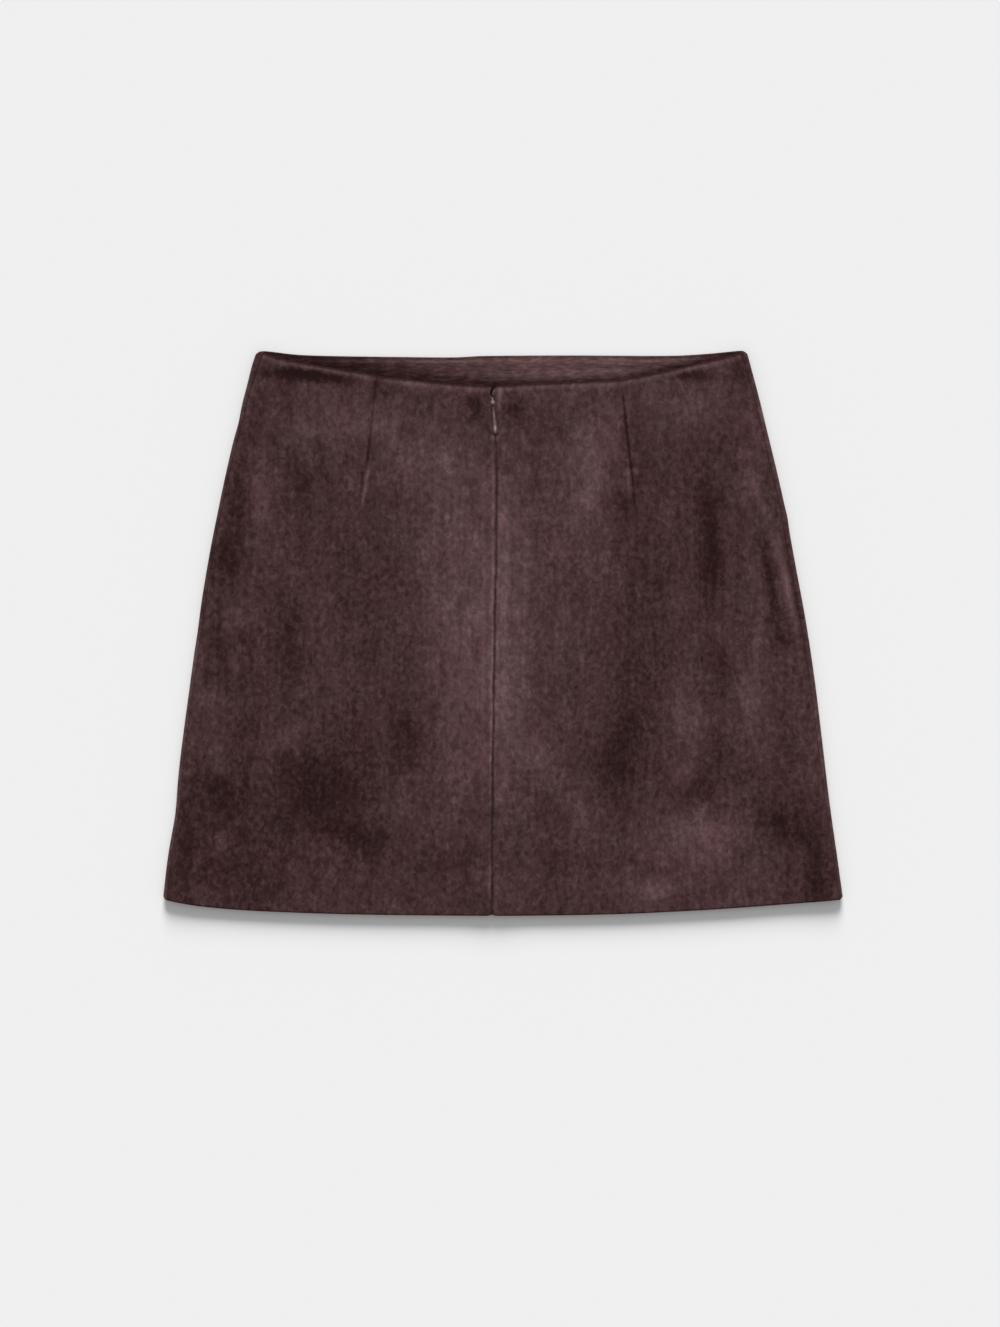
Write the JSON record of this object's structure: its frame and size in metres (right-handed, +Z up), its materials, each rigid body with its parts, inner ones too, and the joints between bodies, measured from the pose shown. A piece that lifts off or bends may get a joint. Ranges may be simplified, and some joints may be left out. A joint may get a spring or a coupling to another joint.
{
  "type": "suede mini skirt",
  "caption": "A-line suede mini skirt laid flat, back uppermost, with two back darts and an invisible zip in the centre back seam.",
  "frame": {"origin": "under the middle of the laid skirt, on the surface that it lies on", "axes": "+X to the right of the back that shows, +Y towards the waist, +Z up from the surface"},
  "size_m": [0.4984, 0.4145, 0.0097],
  "materials": {
    "suede": "napped suede, dark aubergine brown",
    "suede_facing": "napped suede, dark aubergine brown",
    "zip_tape": "woven tape, dark brown",
    "zip_metal": "satin enamel, brown"
  },
  "bodies": {
    "skirt": {"front_panel": "suede", "front_facing": "suede_facing", "back_left_panel": "suede", "back_right_panel": "suede", "zip_tape": "zip_tape", "zip_slider": "zip_metal"},
    "pull": {"zip_pull": "zip_metal"}
  },
  "joints": [
    {"name": "pull_hinge", "type": "hinge", "parent": "skirt", "child": "pull", "pos_m": [-0.00752, 0.16961, 0.00808], "axis": [-0.9962, -0.0872, 0], "range_deg": [0, 165]}
  ]
}
